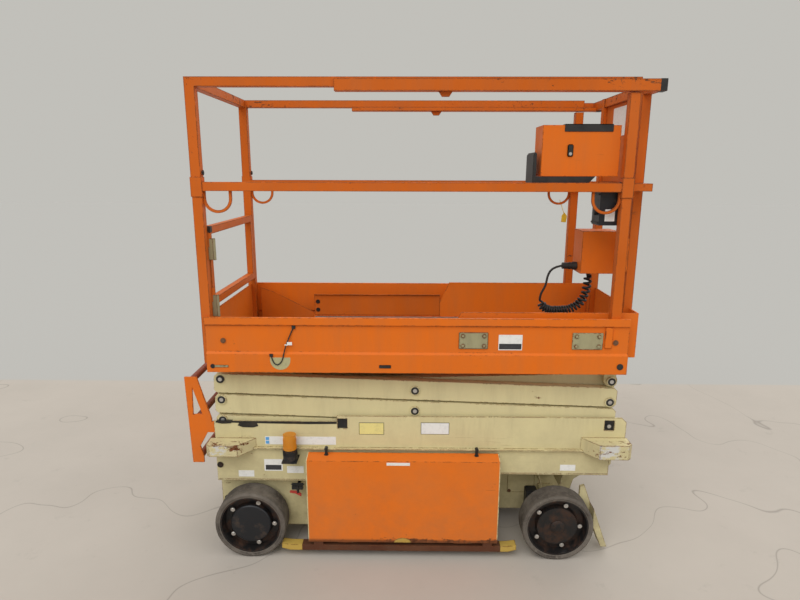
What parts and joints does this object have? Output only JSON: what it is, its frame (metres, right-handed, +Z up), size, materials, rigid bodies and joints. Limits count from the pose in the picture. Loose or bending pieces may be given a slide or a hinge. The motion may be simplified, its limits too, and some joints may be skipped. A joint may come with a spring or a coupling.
{
  "type": "electric scissor lift",
  "caption": "Compact electric scissor lift with stacked crossed arms, a railed deck with a sliding extension, side covers, ladder and steered front wheels.",
  "frame": {"origin": "on the ground under the middle of the overall box", "axes": "+X towards the steered end and the deck extension, +Z up, -Y the side with the beacon and the cable"},
  "size_m": [1.876, 0.76, 1.983],
  "materials": {
    "cream_paint": "worn gloss paint",
    "orange_paint": "worn gloss paint",
    "yellow_paint": "rusty worn paint",
    "tyre_rubber": "worn solid rubber",
    "rim_steel": "dark greasy steel",
    "black_plastic": "matt black",
    "amber_plastic": "translucent amber",
    "bare_steel": "bare steel",
    "dark_steel": "dark painted steel"
  },
  "bodies": {
    "chassis": {"chassis_frame": "cream_paint", "side_channel_near": "cream_paint", "side_channel_far": "cream_paint", "rear_axle": "cream_paint", "battery_block": "black_plastic", "power_unit": "dark_steel", "ladder": "orange_paint", "skid_bars": "yellow_paint", "beacon_foot": "black_plastic", "beacon_lens": "amber_plastic", "lowering_knob": "black_plastic"},
    "knuckle_near": {"knuckle_near": "cream_paint"},
    "knuckle_far": {"knuckle_far": "cream_paint"},
    "wheel_rear_near": {"tyre_rear_near": "tyre_rubber", "rim_rear_near": "rim_steel"},
    "wheel_rear_far": {"tyre_rear_far": "tyre_rubber", "rim_rear_far": "rim_steel"},
    "wheel_front_near": {"tyre_front_near": "tyre_rubber", "rim_front_near": "rim_steel"},
    "wheel_front_far": {"tyre_front_far": "tyre_rubber", "rim_front_far": "rim_steel"},
    "outer_arms_1": {"outer_arms_1": "cream_paint"},
    "inner_arms_1": {"inner_arms_1": "cream_paint", "lower_rollers": "bare_steel"},
    "outer_arms_2": {"outer_arms_2": "cream_paint"},
    "inner_arms_2": {"inner_arms_2": "cream_paint"},
    "outer_arms_3": {"outer_arms_3": "cream_paint"},
    "inner_arms_3": {"inner_arms_3": "cream_paint"},
    "outer_arms_4": {"outer_arms_4": "cream_paint", "upper_rollers": "bare_steel"},
    "inner_arms_4": {"inner_arms_4": "cream_paint"},
    "lift_barrel": {"lift_cylinder_barrel": "dark_steel"},
    "lift_rod": {"lift_cylinder_rod": "bare_steel"},
    "cover_near": {"cover_near": "orange_paint"},
    "cover_far": {"cover_far": "orange_paint"},
    "platform": {"platform_deck": "orange_paint", "guard_rail_near": "orange_paint", "guard_rail_far": "orange_paint", "rear_top_rail": "orange_paint", "cable_fascia": "black_plastic"},
    "gate": {"entry_gate": "orange_paint"},
    "extension": {"extension_deck": "orange_paint", "extension_rails": "orange_paint", "control_case": "orange_paint", "console": "black_plastic", "socket_box": "orange_paint", "plug": "black_plastic", "cable_straight": "black_plastic", "cable_curly": "black_plastic"},
    "case_door": {"case_door": "orange_paint"}
  },
  "joints": [
    {"name": "lift", "type": "hinge", "parent": "chassis", "child": "outer_arms_1", "pos_m": [0.85872, 0, 0.421], "axis": [0, 1, 0], "range_deg": [0, 48.9]},
    {"name": "centre_1", "type": "hinge", "parent": "outer_arms_1", "child": "inner_arms_1", "pos_m": [0.035, 0, 0.467], "axis": [0, 1, 0], "range_deg": [-97.82, 0]},
    {"name": "front_1", "type": "hinge", "parent": "inner_arms_1", "child": "outer_arms_2", "pos_m": [0.85872, 0, 0.513], "axis": [0, 1, 0], "range_deg": [0, 97.82]},
    {"name": "centre_2", "type": "hinge", "parent": "outer_arms_2", "child": "inner_arms_2", "pos_m": [0.035, 0, 0.559], "axis": [0, 1, 0], "range_deg": [-97.82, 0]},
    {"name": "front_2", "type": "hinge", "parent": "inner_arms_2", "child": "outer_arms_3", "pos_m": [0.85872, 0, 0.605], "axis": [0, 1, 0], "range_deg": [0, 97.82]},
    {"name": "centre_3", "type": "hinge", "parent": "outer_arms_3", "child": "inner_arms_3", "pos_m": [0.035, 0, 0.651], "axis": [0, 1, 0], "range_deg": [-97.82, 0]},
    {"name": "front_3", "type": "hinge", "parent": "inner_arms_3", "child": "outer_arms_4", "pos_m": [0.85872, 0, 0.697], "axis": [0, 1, 0], "range_deg": [0, 97.82]},
    {"name": "centre_4", "type": "hinge", "parent": "outer_arms_4", "child": "inner_arms_4", "pos_m": [0.035, 0, 0.743], "axis": [0, 1, 0], "range_deg": [-97.82, 0]},
    {"name": "platform_pivot", "type": "hinge", "parent": "inner_arms_4", "child": "platform", "pos_m": [0.85872, 0, 0.789], "axis": [0, 1, 0], "range_deg": [0, 48.91]},
    {"name": "barrel_pivot", "type": "hinge", "parent": "inner_arms_1", "child": "lift_barrel", "pos_m": [0.80081, 0, 0.50977], "axis": [0, 1, 0], "range_deg": [0, 105.65]},
    {"name": "rod_slide", "type": "slide", "parent": "lift_barrel", "child": "lift_rod", "axis": [-0.9969, 0, 0.0787], "range_m": [0, 0.37255]},
    {"name": "steer_near", "type": "hinge", "parent": "chassis", "child": "knuckle_near", "pos_m": [0.653, -0.222, 0.1525], "axis": [0, 0, 1], "range_deg": [-45, 45]},
    {"name": "spin_front_near", "type": "hinge", "parent": "knuckle_near", "child": "wheel_front_near", "pos_m": [0.653, -0.33, 0.1525], "axis": [0, 1, 0], "continuous": true},
    {"name": "spin_rear_near", "type": "hinge", "parent": "chassis", "child": "wheel_rear_near", "pos_m": [-0.673, -0.33, 0.1525], "axis": [0, 1, 0], "continuous": true},
    {"name": "cover_near_hinge", "type": "hinge", "parent": "chassis", "child": "cover_near", "pos_m": [-0.014, -0.374, 0.078], "axis": [1, 0, 0], "range_deg": [0, 70]},
    {"name": "steer_far", "type": "hinge", "parent": "chassis", "child": "knuckle_far", "pos_m": [0.653, 0.222, 0.1525], "axis": [0, 0, 1], "range_deg": [-45, 45]},
    {"name": "spin_front_far", "type": "hinge", "parent": "knuckle_far", "child": "wheel_front_far", "pos_m": [0.653, 0.33, 0.1525], "axis": [0, 1, 0], "continuous": true},
    {"name": "spin_rear_far", "type": "hinge", "parent": "chassis", "child": "wheel_rear_far", "pos_m": [-0.673, 0.33, 0.1525], "axis": [0, 1, 0], "continuous": true},
    {"name": "cover_far_hinge", "type": "hinge", "parent": "chassis", "child": "cover_far", "pos_m": [-0.014, 0.374, 0.078], "axis": [1, 0, 0], "range_deg": [-70, 0]},
    {"name": "gate_hinge", "type": "hinge", "parent": "platform", "child": "gate", "pos_m": [-0.783, -0.3212, 1.272], "axis": [0, 0, 1], "range_deg": [-85, 0]},
    {"name": "extension_slide", "type": "slide", "parent": "platform", "child": "extension", "axis": [1, 0, 0], "range_m": [0, 0.9]},
    {"name": "case_door_hinge", "type": "hinge", "parent": "extension", "child": "case_door", "pos_m": [0.8, -0.3253, 1.724], "axis": [0, 0, 1], "range_deg": [0, 95]}
  ],
  "couplings": [
    {"joint": "centre_1", "follows": "lift", "ratio": -2},
    {"joint": "front_1", "follows": "lift", "ratio": 2},
    {"joint": "centre_2", "follows": "lift", "ratio": -2},
    {"joint": "front_2", "follows": "lift", "ratio": 2},
    {"joint": "centre_3", "follows": "lift", "ratio": -2},
    {"joint": "front_3", "follows": "lift", "ratio": 2},
    {"joint": "centre_4", "follows": "lift", "ratio": -2},
    {"joint": "platform_pivot", "follows": "lift", "ratio": 1},
    {"joint": "barrel_pivot", "follows": "lift", "ratio": 2.1584},
    {"joint": "rod_slide", "follows": "lift", "m_per_rad": 0.4359},
    {"joint": "steer_far", "follows": "steer_near", "ratio": 1}
  ]
}
